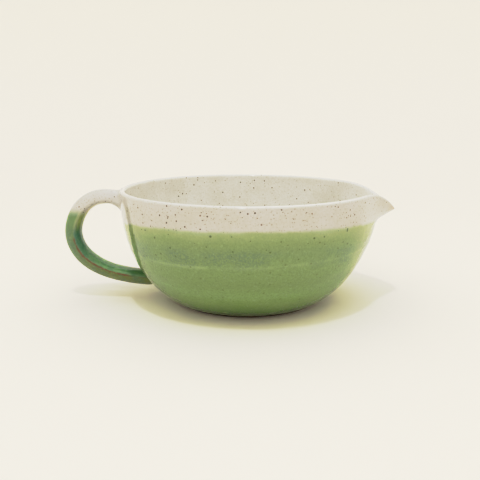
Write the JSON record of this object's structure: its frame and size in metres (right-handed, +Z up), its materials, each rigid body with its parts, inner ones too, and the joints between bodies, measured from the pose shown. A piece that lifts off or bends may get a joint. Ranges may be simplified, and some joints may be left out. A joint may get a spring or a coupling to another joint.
{
  "type": "mixing bowl",
  "caption": "Hand-thrown stoneware mixing bowl, round, with a strap handle, a pulled pouring lip and an unglazed foot ring.",
  "frame": {"origin": "under the middle of the whole object's box, on the surface that the foot ring stands on", "axes": "+X towards the pouring lip and away from the handle, +Z up, +Y across to the bowl's far side"},
  "size_m": [0.2648, 0.1998, 0.0903],
  "materials": {
    "bowl_glaze": "glossy green glaze below a speckled off-white band, off-white inside",
    "handle_glaze": "glossy deep green glaze that breaks to rust along the side ridges",
    "white_glaze": "glossy off-white glaze with brown iron specks",
    "bare_clay": "unglazed toasted brown stoneware, dry and slightly rough"
  },
  "bodies": {
    "root": {"bowl_body": "bowl_glaze", "foot_ring": "bare_clay", "handle_strap": "handle_glaze", "upper_joint_coil": "white_glaze", "lower_joint_coil": "handle_glaze"}
  },
  "joints": []
}
